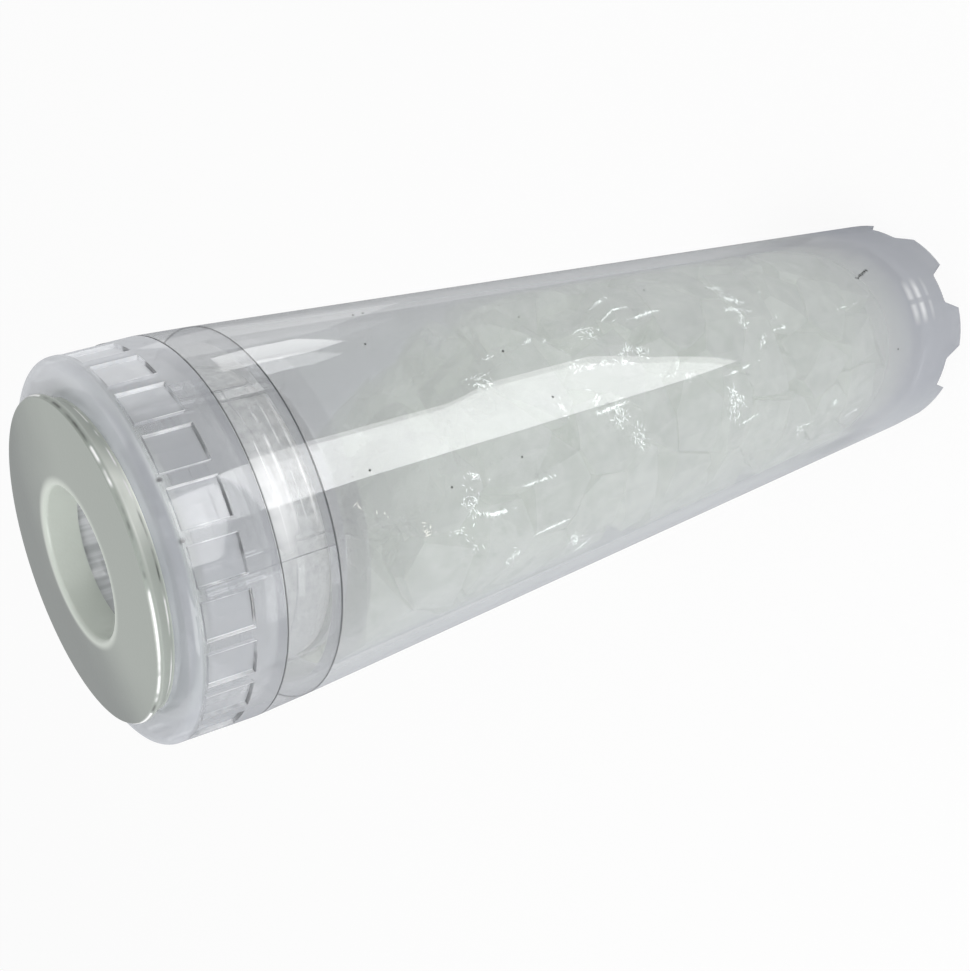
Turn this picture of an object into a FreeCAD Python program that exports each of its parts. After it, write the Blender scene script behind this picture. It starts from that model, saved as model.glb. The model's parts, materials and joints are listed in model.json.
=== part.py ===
import FreeCAD, Part
import math
import os
import random

# Water filter cartridge: a clear tapered canister that stands on a ring of teeth, filled with
# irregular crystals, closed by a screw cap with a soft gasket. Millimetres and degrees.
# +Z runs from the foot to the cap, and the origin is the centre of the foot.

os.makedirs("parts", exist_ok=True)

UP = FreeCAD.Vector(0, 0, 1)
ORIGIN = FreeCAD.Vector(0, 0, 0)

# Canister
tube_height = 219.2
tube_top_radius = 35.0
tube_foot_radius = 31.6
tube_wall = 2.8
tooth_count = 8
tooth_height = 7.3
tooth_tip_width = 11.2
tooth_root_width = 16.4
tooth_corner_radius = 1.0
tooth_phase = 31.6
floor_underside = 14.5
floor_thickness = 3.0
floor_corner_radius = 2.0

# Radial slots of the floor, of the strainer and of the cap's outlet
slot_width = 2.0
slot_bridge = 2.4
inner_slot_count = 12
outer_slot_count = 24
hub_radius = 7.0
slot_rim = 3.3
outlet_slot_count = 10
outlet_hub_radius = 3.7
outlet_slot_rim = 1.0

# Collar and neck
collar_height = 10.1
spigot_length = 8.0
spigot_clearance = 0.12
neck_step = 4.6
neck_wall = 2.4
neck_height = 10.2
ledge_width = 2.5
ledge_thickness = 2.0
thread_break_count = 6
thread_break_width = 4.0
thread_break_depth = 0.7
thread_break_phase = 14.0
bore_groove_width = 2.8
bore_groove_depth = 0.5

# Screw cap
rim_gap = 0.2
cap_height = 15.3
cap_taper = 1.1
cap_skirt_clearance = 1.5
cap_plate_thickness = 3.6
cap_shoulder_radius = 1.8
window_count = 24
window_width = 6.5
window_height = 7.8
window_rim_distance = 5.2
window_depth = 0.7
window_phase = 6.0
well_radius = 14.7
well_depth = 17.0
well_wall = 2.2
well_floor_thickness = 2.0

# Soft pieces
gasket_bore_radius = 13.4
gasket_foot_inset = 6.5
gasket_flare = 1.3
gasket_bevel = 0.5
gasket_proud = 3.2
gasket_seat_depth = 1.0
gasket_spigot_length = 1.6
gasket_edge_radius = 0.8
seal_section_radius = 1.1
seal_squeeze_gap = 0.1
seal_groove_depth = 0.8
pad_clearance = 0.3
seat_clearance = 0.1
lower_pad_thickness = 6.0
strainer_thickness = 2.0

# Crystal bed: it has slumped to the -X side and lies at a slope under the strainer. Its lumps are
# laid out in a bed of radius 1 and height bed_aspect, which is then stretched to fit the tube
bed_aspect = 6.0
crystal_share = 0.4
crystal_gap = 0.3
crystal_reach = 0.62
crystal_reach_low = 0.85
crystal_reach_high = 1.1
crystal_block_share = 1.2
crystal_extra_facets = 5
crystal_shortest_edge = 0.4
crystal_facet_step = 0.08
crystal_facet_tries = 8
crystal_seed = 11
crystal_seed_misses = 6000
bed_wall_planes = 24
bed_mid_drop = 15.2
bed_slope = 1.2
bed_roughness = 3.5
layer_count = 12

# How far a cutting tool runs past the face that it opens
overcut = 1.0

# Places that follow from the sizes above
neck_radius = tube_top_radius - neck_step
cap_front_radius = tube_top_radius - cap_taper
gasket_foot_radius = cap_front_radius - gasket_foot_inset
gasket_lip_radius = gasket_foot_radius + gasket_flare
gasket_face_radius = gasket_lip_radius - gasket_bevel
floor_top = floor_underside + floor_thickness
collar_top = tube_height + collar_height
neck_top = collar_top + neck_height
neck_bore = neck_radius - neck_wall
spigot_bottom = tube_height - spigot_length
ledge_top = spigot_bottom + ledge_thickness
rim_height = collar_top + rim_gap
cap_front = rim_height + cap_height
cap_plate_underside = cap_front - cap_plate_thickness
cap_skirt_radius = neck_radius + cap_skirt_clearance
gasket_seat = cap_front - gasket_seat_depth
gasket_face = cap_front + gasket_proud
seal_middle_radius = neck_radius - neck_wall / 2
strainer_bottom = ledge_top
strainer_top = strainer_bottom + strainer_thickness
strainer_radius = neck_bore - pad_clearance
slot_length = (strainer_radius - slot_rim - hub_radius - slot_bridge) / 2
upper_pad_bottom = strainer_top + seat_clearance
well_underside = cap_front - well_depth
upper_pad_top = well_underside - seat_clearance
bed_bottom = floor_top + lower_pad_thickness + 2 * seat_clearance
bed_top_limit = spigot_bottom - crystal_gap
bed_mid_height = spigot_bottom - bed_mid_drop
bed_height = bed_top_limit - bed_bottom


def vector(r, z):
    """Point of a turned profile: radius along X, height along Z."""
    return FreeCAD.Vector(r, 0, z)


def rounded_wire(corners):
    """Closed wire through corners (point, radius): straight runs, with a tangent arc at each
    corner whose radius isn't zero."""
    edges = []
    ends = []
    count = len(corners)
    for i, (point, radius) in enumerate(corners):
        before = (corners[i - 1][0] - point).normalize()
        after = (corners[(i + 1) % count][0] - point).normalize()
        if radius == 0:
            ends.append((point, point))
            continue
        half = before.getAngle(after) / 2
        reach = radius / math.tan(half)
        start = point + before * reach
        end = point + after * reach
        towards = (before + after).normalize()
        middle = point + towards * (radius / math.sin(half) - radius)
        edges.append(Part.Arc(start, middle, end).toShape())
        ends.append((start, end))
    for i in range(count):
        start = ends[i - 1][1]
        end = ends[i][0]
        if start.distanceToPoint(end) > 1e-6:
            edges.append(Part.LineSegment(start, end).toShape())
    return Part.Wire(Part.__sortEdges__(edges))


def turned(*corners):
    """Solid of revolution about Z of a profile with corners (r, z) or (r, z, rounding)."""
    points = [(vector(c[0], c[1]), c[2] if len(c) > 2 else 0) for c in corners]
    return Part.Face(rounded_wire(points)).revolve(ORIGIN, UP, 360)


def around(shape, count, phase=0.0):
    """Copies of a shape at equal angles about Z, the first one turned by phase."""
    copies = []
    for i in range(count):
        copy = shape.copy()
        copy.rotate(ORIGIN, UP, phase + 360.0 * i / count)
        copies.append(copy)
    return copies


def block(x_low, x_high, width, z_low, z_high):
    """Box that is centred on the XZ plane."""
    corner = FreeCAD.Vector(x_low, -width / 2, z_low)
    return Part.makeBox(x_high - x_low, width, z_high - z_low, corner)


def tube_outer(z):
    return tube_foot_radius + (tube_top_radius - tube_foot_radius) * z / tube_height


def tube_inner(z):
    return tube_outer(z) - tube_wall


def cap_outer(z):
    share = (z - rim_height) / cap_height
    return tube_top_radius + (cap_front_radius - tube_top_radius) * share


def slot_rings(z_low, z_high):
    """Radial slots in two rings, as in the floor and in the strainer."""
    outer_start = hub_radius + slot_length + slot_bridge
    inner = block(hub_radius, hub_radius + slot_length, slot_width, z_low, z_high)
    outer = block(outer_start, outer_start + slot_length, slot_width, z_low, z_high)
    return around(inner, inner_slot_count) + around(outer, outer_slot_count)


def notch():
    """Gap between two teeth: wide at the foot, narrower at its root, with rounded corners."""
    pitch = 2 * math.pi * tube_foot_radius / tooth_count
    half_mouth = (pitch - tooth_tip_width) / 2
    half_root = (pitch - tooth_root_width) / 2
    spread = (half_mouth - half_root) / tooth_height
    below = tooth_corner_radius
    reach = tube_foot_radius - 2 * tube_wall

    def at(y, z):
        return FreeCAD.Vector(reach, y, z)

    mouth = half_mouth + spread * below
    corners = [(at(-mouth, -below), 0), (at(mouth, -below), 0),
               (at(half_root, tooth_height), tooth_corner_radius),
               (at(-half_root, tooth_height), tooth_corner_radius)]
    return Part.Face(rounded_wire(corners)).extrude(FreeCAD.Vector(4 * tube_wall, 0, 0))


def canister():
    shell = turned((tube_inner(0), 0), (tube_outer(0), 0), (tube_top_radius, tube_height),
                   (tube_inner(tube_height), tube_height),
                   (tube_inner(floor_top), floor_top, floor_corner_radius), (0, floor_top),
                   (0, floor_underside),
                   (tube_inner(floor_underside), floor_underside, floor_corner_radius))
    half_pitch = 180.0 / tooth_count
    notches = around(notch(), tooth_count, tooth_phase + half_pitch)
    slots = slot_rings(floor_underside - floor_thickness, floor_top + floor_thickness)
    return shell.cut(notches + slots)


def neck_collar():
    spigot_top_radius = tube_inner(tube_height) - spigot_clearance
    spigot_foot_radius = tube_inner(spigot_bottom) - spigot_clearance
    ledge_radius = neck_bore - ledge_width
    body = turned((ledge_radius, spigot_bottom), (spigot_foot_radius, spigot_bottom),
                  (spigot_top_radius, tube_height), (tube_top_radius, tube_height),
                  (tube_top_radius, collar_top), (neck_radius, collar_top),
                  (neck_radius, neck_top, thread_break_depth), (neck_bore, neck_top),
                  (neck_bore, ledge_top), (ledge_radius, ledge_top))
    groove = block(neck_radius - thread_break_depth, neck_radius + overcut, thread_break_width,
                   collar_top, neck_top + overcut)
    bore_groove = block(neck_bore - overcut, neck_bore + bore_groove_depth, bore_groove_width,
                        strainer_top, neck_top + overcut)
    grooves = around(groove, thread_break_count, thread_break_phase)
    return body.cut(grooves + around(bore_groove, thread_break_count, thread_break_phase))


def grip_window():
    """Tool for one rectangular grip window: its floor follows the cap's tapered side."""
    low = rim_height + window_rim_distance
    high = low + window_height
    beyond = tube_top_radius + overcut
    ring = turned((cap_outer(low) - window_depth, low), (beyond, low), (beyond, high),
                  (cap_outer(high) - window_depth, high))
    return ring.common(block(0, beyond + overcut, window_width, low - overcut, high + overcut))


def screw_cap():
    seat_radius = gasket_foot_radius + pad_clearance
    groove_in = seal_middle_radius - seal_section_radius - seal_squeeze_gap
    groove_out = seal_middle_radius + seal_section_radius + seal_squeeze_gap
    groove_top = cap_plate_underside + seal_groove_depth
    well_outer = well_radius + well_wall
    body = turned((cap_skirt_radius, rim_height), (tube_top_radius, rim_height),
                  (cap_front_radius, cap_front, cap_shoulder_radius), (seat_radius, cap_front),
                  (seat_radius, gasket_seat), (well_radius, gasket_seat),
                  (well_radius, well_underside + well_floor_thickness),
                  (0, well_underside + well_floor_thickness), (0, well_underside),
                  (well_outer, well_underside), (well_outer, cap_plate_underside),
                  (groove_in, cap_plate_underside), (groove_in, groove_top),
                  (groove_out, groove_top), (groove_out, cap_plate_underside),
                  (cap_skirt_radius, cap_plate_underside))
    windows = around(grip_window(), window_count, window_phase)
    slot = block(outlet_hub_radius, well_radius - outlet_slot_rim, slot_width,
                 well_underside - overcut, well_underside + well_floor_thickness + overcut)
    return body.cut(windows + around(slot, outlet_slot_count))


def top_gasket():
    spigot_outer = well_radius - seat_clearance
    lip = gasket_face - gasket_edge_radius
    return turned((gasket_bore_radius, gasket_seat - gasket_spigot_length),
                  (spigot_outer, gasket_seat - gasket_spigot_length), (spigot_outer, gasket_seat),
                  (gasket_foot_radius, gasket_seat),
                  (gasket_foot_radius, cap_front + seat_clearance),
                  (gasket_lip_radius, lip, gasket_edge_radius), (gasket_face_radius, gasket_face),
                  (gasket_bore_radius, gasket_face, gasket_edge_radius))


def cap_seal_ring():
    middle = cap_plate_underside + seal_groove_depth - seal_squeeze_gap - seal_section_radius
    return Part.makeTorus(seal_middle_radius, seal_section_radius, FreeCAD.Vector(0, 0, middle))


def upper_strainer():
    disc = Part.makeCylinder(strainer_radius, strainer_thickness, vector(0, strainer_bottom))
    return disc.cut(slot_rings(strainer_bottom - overcut, strainer_top + overcut))


def upper_felt_pad():
    height = upper_pad_top - upper_pad_bottom
    return Part.makeCylinder(strainer_radius, height, vector(0, upper_pad_bottom))


def lower_felt_pad():
    radius = tube_inner(floor_top) - floor_corner_radius - seat_clearance
    return Part.makeCylinder(radius, lower_pad_thickness, vector(0, floor_top + seat_clearance))


def dot(a, b):
    return a[0] * b[0] + a[1] * b[1] + a[2] * b[2]


def clipped(faces, normal, limit):
    """Convex body, a list of point loops, kept where normal . p <= limit."""
    kept = []
    cut_points = []
    for loop in faces:
        out = []
        for i, here in enumerate(loop):
            there = loop[(i + 1) % len(loop)]
            d_here = dot(normal, here) - limit
            d_there = dot(normal, there) - limit
            if d_here <= 0:
                out.append(here)
            if (d_here < 0 < d_there) or (d_there < 0 < d_here):
                # Both faces of an edge cut it in the same order, so they share the point exactly
                if here < there:
                    t = d_here / (d_here - d_there)
                    point = tuple(here[k] + t * (there[k] - here[k]) for k in range(3))
                else:
                    t = d_there / (d_there - d_here)
                    point = tuple(there[k] + t * (here[k] - there[k]) for k in range(3))
                out.append(point)
                cut_points.append(point)
        if len(out) >= 3:
            kept.append(out)
    loop = sorted(set(cut_points))
    if len(loop) >= 3:
        centre = [sum(p[k] for p in loop) / len(loop) for k in range(3)]
        n = FreeCAD.Vector(*normal)
        first = (FreeCAD.Vector(*loop[0]) - FreeCAD.Vector(*centre)).normalize()
        second = n.cross(first)

        def angle(p):
            arm = FreeCAD.Vector(*p) - FreeCAD.Vector(*centre)
            return math.atan2(arm.dot(second), arm.dot(first))

        kept.append(sorted(loop, key=angle))
    return kept


def shortest_side(faces):
    return min(math.dist(loop[i - 1], loop[i]) for loop in faces for i in range(len(loop)))


def faceted(faces, normal, limit):
    """Body clipped by a plane that moves inwards a little at a time until the new facet leaves no
    edge that is too short to see."""
    results = []
    for step in range(crystal_facet_tries):
        results.append(clipped(faces, normal, limit - step * crystal_facet_step))
        if shortest_side(results[-1]) >= crystal_shortest_edge:
            return results[-1]
    return max(results, key=shortest_side)


def unit(a, b, c):
    length = math.sqrt(a * a + b * b + c * c)
    return (a / length, b / length, c / length)


def bed_surface(x):
    """Height of the sloping top of the bed."""
    return min(bed_mid_height - bed_slope * x, bed_top_limit)


def crystal_seeds():
    """Points of the unit bed at least one share apart, and where they lie in the real bed."""
    rng = random.Random(crystal_seed)
    margin = crystal_share / 3
    laid_out = []
    misses = 0
    while misses < crystal_seed_misses:
        reach = 1 - margin
        point = (rng.uniform(-reach, reach), rng.uniform(-reach, reach),
                 rng.uniform(margin, bed_aspect - margin))
        free = math.hypot(point[0], point[1]) < reach
        if free and all(math.dist(point, other) >= crystal_share for other in laid_out):
            laid_out.append(point)
            misses = 0
        else:
            misses += 1
    placed = []
    for number, (u, v, w) in enumerate(laid_out):
        z = bed_bottom + w / bed_aspect * bed_height
        x = u * tube_inner(z)
        y = v * tube_inner(z)
        if z < bed_surface(x) - margin * tube_inner(z):
            layer = int(w / bed_aspect * layer_count)
            placed.append((number, layer, (x, y, z)))
    return placed


def bed_walls():
    """Planes (normal, limit) that keep the bed off the tube's tapered wall, the pad and the top."""
    taper = (tube_top_radius - tube_foot_radius) / tube_height
    planes = [((0, 0, -1), -bed_bottom), ((0, 0, 1), bed_top_limit)]
    shrink = math.cos(math.pi / bed_wall_planes)
    for i in range(bed_wall_planes):
        angle = 2 * math.pi * i / bed_wall_planes
        normal = unit(math.cos(angle), math.sin(angle), -taper)
        reach = tube_inner(0) * shrink
        point = (reach * math.cos(angle), reach * math.sin(angle), 0)
        planes.append((normal, dot(normal, point) - crystal_gap))
    return planes


def crystal(number, seed, seeds, walls):
    """One lump: the space nearer to its seed than to any other, less half of the gap, with its
    outer corners broken off by a few random facets."""
    rng = random.Random(crystal_seed + number)
    spacing = crystal_share * tube_inner(seed[2])
    size = crystal_block_share * spacing
    ends = [(c - size, c + size) for c in seed]
    corners = [(x, y, z) for x in ends[0] for y in ends[1] for z in ends[2]]
    quads = [(0, 1, 3, 2), (4, 6, 7, 5), (0, 4, 5, 1), (2, 3, 7, 6), (0, 2, 6, 4), (1, 5, 7, 3)]
    faces = [[corners[i] for i in quad] for quad in quads]
    for other in seeds:
        distance = math.dist(seed, other)
        if 0 < distance < 2 * size:
            normal = unit(*[other[k] - seed[k] for k in range(3)])
            middle = [(seed[k] + other[k]) / 2 for k in range(3)]
            faces = faceted(faces, normal, dot(normal, middle) - crystal_gap / 2)
    for normal, limit in walls:
        if dot(normal, seed) > limit - 2 * size:
            faces = faceted(faces, normal, limit)
    top = unit(bed_slope, 0, 1)
    top_point = (0, 0, bed_mid_height + rng.uniform(-bed_roughness, bed_roughness))
    faces = faceted(faces, top, dot(top, top_point))
    for _ in range(crystal_extra_facets):
        turn = rng.uniform(0, 2 * math.pi)
        rise = rng.uniform(-1, 1)
        flat = math.sqrt(1 - rise * rise)
        normal = (flat * math.cos(turn), flat * math.sin(turn), rise)
        reach = crystal_reach * spacing * rng.uniform(crystal_reach_low, crystal_reach_high)
        faces = faceted(faces, normal, dot(normal, seed) + reach)
    plates = []
    for loop in faces:
        outline = [FreeCAD.Vector(*p) for p in loop + loop[:1]]
        plates.append(Part.Face(Part.makePolygon(outline)))
    return Part.makeSolid(Part.makeShell(plates))


def crystal_layers():
    """Crystals in layers from the bottom up, each layer a group of separate solids."""
    placed = crystal_seeds()
    seeds = [seed for _, _, seed in placed]
    walls = bed_walls()
    layers = [[] for _ in range(layer_count)]
    for number, layer, seed in placed:
        layers[layer].append(crystal(number, seed, seeds, walls))
    return layers


pieces = {
    "canister": canister(),
    "neck_collar": neck_collar(),
    "screw_cap": screw_cap(),
    "top_gasket": top_gasket(),
    "cap_seal_ring": cap_seal_ring(),
    "upper_strainer": upper_strainer(),
    "upper_felt_pad": upper_felt_pad(),
    "lower_felt_pad": lower_felt_pad(),
}
for number, layer in enumerate(crystal_layers(), start=1):
    pieces["crystals_layer_%02d" % number] = Part.makeCompound(layer)

for name, shape in pieces.items():
    if not shape.isValid():
        print("not valid:", name)
    shape.exportStep("parts/%s.step" % name)
    box = shape.BoundBox
    print("%-20s %3d solids  volume %8.1f  z %6.1f to %6.1f" % (
        name, len(shape.Solids), shape.Volume, box.ZMin, box.ZMax))
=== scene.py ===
import json
import math
import bmesh
import bpy
import numpy as np
from mathutils import Matrix, Vector
from mathutils.bvhtree import BVHTree

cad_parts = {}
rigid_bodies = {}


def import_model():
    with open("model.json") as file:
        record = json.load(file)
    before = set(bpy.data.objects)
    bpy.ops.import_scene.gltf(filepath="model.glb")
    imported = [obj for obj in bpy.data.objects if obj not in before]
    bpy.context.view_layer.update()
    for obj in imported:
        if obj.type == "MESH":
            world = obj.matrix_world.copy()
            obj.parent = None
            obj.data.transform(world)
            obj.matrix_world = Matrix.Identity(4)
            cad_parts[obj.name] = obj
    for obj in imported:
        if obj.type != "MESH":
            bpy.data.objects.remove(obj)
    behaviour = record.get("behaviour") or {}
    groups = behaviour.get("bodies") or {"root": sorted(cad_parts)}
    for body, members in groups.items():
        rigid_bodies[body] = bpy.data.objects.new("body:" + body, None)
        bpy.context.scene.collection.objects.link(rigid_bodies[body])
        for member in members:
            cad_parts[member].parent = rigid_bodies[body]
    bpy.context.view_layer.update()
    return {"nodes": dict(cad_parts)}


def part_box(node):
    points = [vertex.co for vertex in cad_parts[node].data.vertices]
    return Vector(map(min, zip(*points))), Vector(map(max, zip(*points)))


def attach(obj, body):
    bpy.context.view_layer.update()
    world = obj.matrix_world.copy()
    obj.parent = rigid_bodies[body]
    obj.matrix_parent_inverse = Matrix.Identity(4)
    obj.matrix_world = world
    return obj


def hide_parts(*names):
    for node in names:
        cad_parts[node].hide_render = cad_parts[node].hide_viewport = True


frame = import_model()

# Clear filter cartridge, standing on its toothed foot with the screw cap on top.
# Metres; +Z runs from the foot to the cap, and angles are about Z from +X. The photograph shows
# -X as the cartridge's low side and +X as its high side.
MM = 0.001


# Studio: a pale floor, an even white surround and two soft lamps. The bright cards only show as
# reflections in the clear wall, as a window does on the real cartridge.
class Line:
    """An output socket of a finish. Operators add Math nodes to the same finish."""

    def __init__(self, finish, socket):
        self.finish = finish
        self.socket = socket

    def maths(self, operation, *values):
        return self.finish.add("ShaderNodeMath", {"operation": operation}, dict(enumerate(values)))

    def __add__(self, other):
        return self.maths("ADD", self, other)

    def __radd__(self, other):
        return self.maths("ADD", other, self)

    def __sub__(self, other):
        return self.maths("SUBTRACT", self, other)

    def __rsub__(self, other):
        return self.maths("SUBTRACT", other, self)

    def __mul__(self, other):
        return self.maths("MULTIPLY", self, other)

    def __rmul__(self, other):
        return self.maths("MULTIPLY", other, self)

    def __pow__(self, other):
        return self.maths("POWER", self, other)

    def __abs__(self):
        return self.maths("ABSOLUTE", self)

    def smaller(self, other):
        return self.maths("MINIMUM", self, other)

    def larger(self, other):
        return self.maths("MAXIMUM", self, other)

    def span(self, low, high, from_value=0.0, to_value=1.0):
        """Smooth step of this value from low to high, onto the two values."""
        return self.finish.add("ShaderNodeMapRange", {"interpolation_type": "SMOOTHSTEP"},
                               {"Value": self, "From Min": low, "From Max": high,
                                "To Min": from_value, "To Max": to_value})

    def near(self, middle, reach):
        """1 at the middle, falling to 0 at the reach on either side."""
        return abs(self - middle).span(0.0, reach, 1.0, 0.0)

    def within(self, half_width, edge):
        """1 where this value is smaller than the half width either way, with a soft edge."""
        return abs(self).span(half_width, half_width + edge, 1.0, 0.0)


class Finish:
    """A material that is put together from nodes."""

    def __init__(self, name):
        self.material = bpy.data.materials.new(name)
        self.material.use_nodes = True
        self.tree = self.material.node_tree
        self.tree.nodes.clear()

    def add(self, kind, settings=None, inputs=None, output=0):
        """New node: its settings first, then the values or Lines of its sockets."""
        node = self.tree.nodes.new(kind)
        for key, value in (settings or {}).items():
            setattr(node, key, value)
        for key, value in (inputs or {}).items():
            if isinstance(value, Line):
                self.tree.links.new(value.socket, node.inputs[key])
            elif isinstance(value, tuple) and node.inputs[key].type == "RGBA":
                node.inputs[key].default_value = (*value, 1.0)
            else:
                node.inputs[key].default_value = value
        return Line(self, node.outputs[output])

    def blend(self, factor, low, high):
        """Colour between low and high."""
        return self.add("ShaderNodeMix", {"data_type": "RGBA"},
                        {"Factor": factor, 6: low, 7: high}, output=2)

    def noise(self, place, scale, detail=2.0):
        return self.add("ShaderNodeTexNoise", None,
                        {"Vector": place, "Scale": scale, "Detail": detail})

    def bump(self, height, strength, distance):
        return self.add("ShaderNodeBump", None,
                        {"Height": height, "Strength": strength, "Distance": distance})

    def mixed(self, factor, first, second):
        return self.add("ShaderNodeMixShader", None, {"Fac": factor, 1: first, 2: second})

    def matt(self, colour):
        return self.add("ShaderNodeBsdfDiffuse", None, {"Color": colour})

    def place(self):
        """Position on the piece in the shared frame."""
        return self.add("ShaderNodeTexCoord", None, None, output="Object")

    def millimetres(self):
        """The position's X, Y and Z in millimetres."""
        split = self.add("ShaderNodeSeparateXYZ", None, {"Vector": self.place()}).socket.node
        return [Line(self, socket) * 1000.0 for socket in split.outputs]

    def beside(self, x, y, count, phase, radius):
        """Distance in millimetres, round the axis, from the nearest of equally spaced features, the
        first of them at the phase in degrees."""
        turns = y.maths("ARCTAN2", y, x) * (count / (2 * math.pi)) + (0.5 - phase * count / 360)
        return (turns.maths("FRACT", turns) - 0.5) * (2 * math.pi * radius / count)

    def done(self, shader):
        end = self.tree.nodes.new("ShaderNodeOutputMaterial")
        self.tree.links.new(shader.socket, end.inputs["Surface"])
        return self.material


def grid_mesh(name, points, material, closed=False):
    """Object from a grid of points, shape (rows, columns, 3): one quad for each cell, with the
    last column joined to the first where the grid is closed."""
    rows, columns = points.shape[:2]
    index = np.arange(rows * columns).reshape(rows, columns)
    if closed:
        index = np.hstack([index, index[:, :1]])
    quads = np.stack([index[:-1, :-1], index[:-1, 1:], index[1:, 1:], index[1:, :-1]], axis=-1)
    mesh = bpy.data.meshes.new(name)
    mesh.from_pydata(points.reshape(-1, 3).tolist(), [], quads.reshape(-1, 4).tolist())
    mesh.materials.append(material)
    mesh.shade_smooth()
    piece = bpy.data.objects.new(name, mesh)
    bpy.context.collection.objects.link(piece)
    return piece


FLOOR_SIZE = 6.0
FLOOR_GREY = (0.80, 0.80, 0.80)
FLOOR_GLOW = 0.9
AMBIENT_BRIGHT, AMBIENT_DIM = 0.92, 0.62

for leftover in list(bpy.context.scene.objects):
    if leftover.name in ("Cube", "Light", "Camera"):
        bpy.data.objects.remove(leftover)

scene = bpy.context.scene
scene.view_settings.view_transform = "Standard"


def surround():
    """White for the camera; as light, brighter on the -X side than on the +X side."""
    world = bpy.data.worlds.new("surround")
    world.use_nodes = True
    nodes = world.node_tree.nodes
    links = world.node_tree.links
    direction = nodes.new("ShaderNodeTexCoord")
    split = nodes.new("ShaderNodeSeparateXYZ")
    links.new(direction.outputs["Generated"], split.inputs["Vector"])
    side = nodes.new("ShaderNodeMapRange")
    side.inputs["From Min"].default_value = -1.0
    side.inputs["To Min"].default_value = AMBIENT_BRIGHT
    side.inputs["To Max"].default_value = AMBIENT_DIM
    links.new(split.outputs["X"], side.inputs["Value"])
    rays = nodes.new("ShaderNodeLightPath")
    strength = nodes.new("ShaderNodeMapRange")
    strength.inputs["To Max"].default_value = 1.0
    links.new(rays.outputs["Is Camera Ray"], strength.inputs["Value"])
    links.new(side.outputs["Result"], strength.inputs["To Min"])
    nodes["Background"].inputs["Color"].default_value = (1.0, 1.0, 1.0, 1.0)
    links.new(strength.outputs["Result"], nodes["Background"].inputs["Strength"])
    return world


scene.world = surround()


def floor_finish():
    """Nearly white to the camera, and pale grey to all other rays."""
    finish = Finish("pale floor")
    white = finish.add("ShaderNodeEmission", None, {"Color": (1.0, 1.0, 1.0), "Strength": 1.0})
    seen = finish.add("ShaderNodeLightPath", None, None, output="Is Camera Ray")
    return finish.done(finish.mixed(seen * FLOOR_GLOW, finish.matt(FLOOR_GREY), white))


floor_corners = np.array([[(-1, -1, 0), (1, -1, 0)], [(-1, 1, 0), (1, 1, 0)]]) * FLOOR_SIZE / 2
floor = grid_mesh("floor", floor_corners, floor_finish())


GLOW_DISTANT, GLOW_CLOSE = -420.0, -120.0
CARD_STEP = 1 * MM


def card_finish(name, near, far):
    """Glow that changes along Y, from its brightness near the cartridge to that in the distance."""
    finish = Finish(name)
    glow = finish.millimetres()[1].span(GLOW_DISTANT, GLOW_CLOSE, far, near)
    return finish.done(finish.add("ShaderNodeEmission", None, {"Strength": glow}))


def reflection_card(name, outline, near, far, height):
    """Flat card over the floor, seen only in reflections: outline is its corners in order, in
    millimetres."""
    mesh = bpy.data.meshes.new(name)
    corners = [(x * MM, y * MM, height) for x, y in outline]
    mesh.from_pydata(corners, [], [tuple(range(len(corners)))])
    mesh.materials.append(card_finish(name, near, far))
    card = bpy.data.objects.new(name, mesh)
    bpy.context.collection.objects.link(card)
    card.visible_camera = False
    card.visible_diffuse = False
    card.visible_shadow = False
    card.visible_transmission = False


WINDOW_CARD = [(350, -770), (197, -355), (134, -235), (139, -190), (104, -141), (59, -133),
               (8, -110), (5, -130), (2, -360), (-12, -500), (-5, -770)]
DIM_CARD = [(1, -133), (-2, -436), (-260, -520), (-179, -357), (-103, -229), (-65, -173),
            (-20, -140)]
STREAK_CARD = [(325, 9), (355, -15), (409, -24), (489, -44), (489, 73), (416, 87), (359, 81),
               (337, 41)]
CAP_CARD = [(300, -810), (330, -1000), (100, -1200), (-250, -1150), (-360, -970), (-340, -890),
            (0, -860)]
SKY_CARD = [(323, 95), (430, 108), (600, 150), (560, 400), (300, 330), (195, 160), (277, 125)]

# Each card has its outline, its near brightness and its far brightness. Each lies a step higher
# than the one before, so that no two share a plane.
cards = [("window_card", WINDOW_CARD, 2.5, 3.6), ("dim_window_card", DIM_CARD, 1.0, 1.0),
         ("streak_card", STREAK_CARD, 2.7, 2.7), ("cap_window_card", CAP_CARD, 3.2, 3.2),
         ("sky_card", SKY_CARD, 1.3, 1.3)]
for step, (card_name, outline, near, far) in enumerate(cards, start=1):
    reflection_card(card_name, outline, near, far, step * CARD_STEP)


def soft_lamp(name, place, aim, size, power):
    """Square area lamp that shines from its place towards the aim."""
    light = bpy.data.lights.new(name, "AREA")
    light.shape = "SQUARE"
    light.size = size
    light.energy = power
    lamp = bpy.data.objects.new(name, light)
    lamp.matrix_world = Matrix.Translation(place) @ (
        (Vector(place) - Vector(aim)).to_track_quat("Z", "Y").to_matrix().to_4x4())
    bpy.context.collection.objects.link(lamp)


MIDDLE = (0.0, 0.0, 0.12)
KEY_PLACE, KEY_SIZE, KEY_WATTS = (-0.9, -0.6, 0.9), 0.7, 7.0
FILL_PLACE, FILL_SIZE, FILL_WATTS = (0.8, -0.9, 0.7), 0.8, 2.0
soft_lamp("key_lamp", KEY_PLACE, MIDDLE, KEY_SIZE, KEY_WATTS)
soft_lamp("fill_lamp", FILL_PLACE, MIDDLE, FILL_SIZE, FILL_WATTS)


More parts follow.
